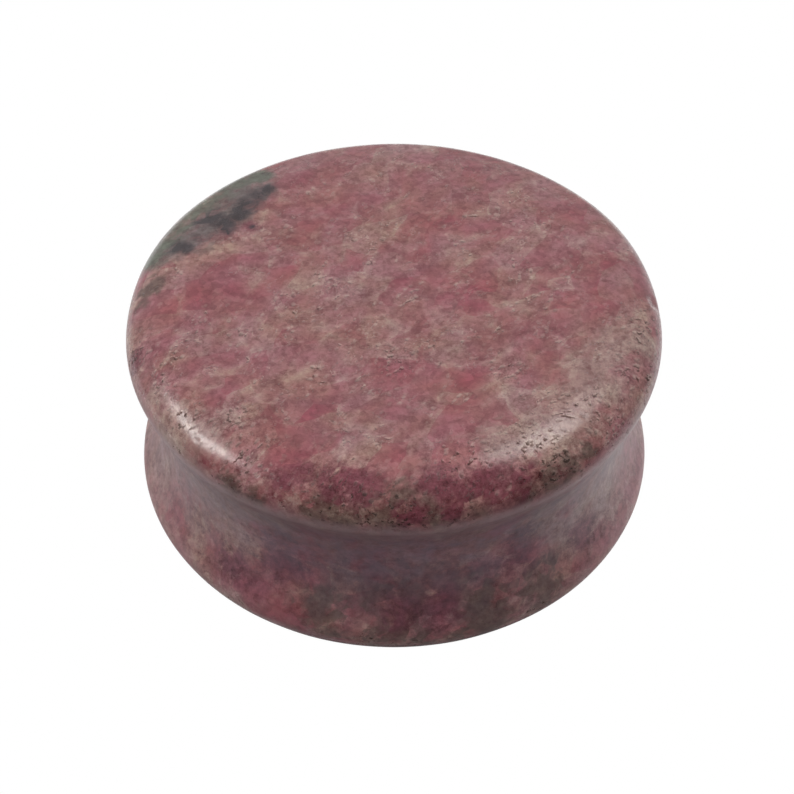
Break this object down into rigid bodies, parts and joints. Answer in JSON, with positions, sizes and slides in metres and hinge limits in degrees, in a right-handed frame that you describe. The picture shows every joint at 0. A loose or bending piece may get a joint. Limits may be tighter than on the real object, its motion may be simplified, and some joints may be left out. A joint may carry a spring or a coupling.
{
  "type": "ear plug gauge",
  "caption": "Solid round stone ear plug with two flat faces, flared rims with rounded shoulders and a concave waist that sits in a stretched earlobe.",
  "frame": {"origin": "middle of the lower face, where the plug stands", "axes": "+Z along the plug's axis, from the lower face to the upper one; the section is the same all round, so +X and +Y are free, and +Y points away from the viewer of the picture"},
  "size_m": [0.028, 0.028, 0.0125],
  "materials": {
    "rhodonite": "polished, pink to mauve with dark manganese veins and spots"
  },
  "bodies": {
    "root": {"plug": "rhodonite"}
  },
  "joints": []
}
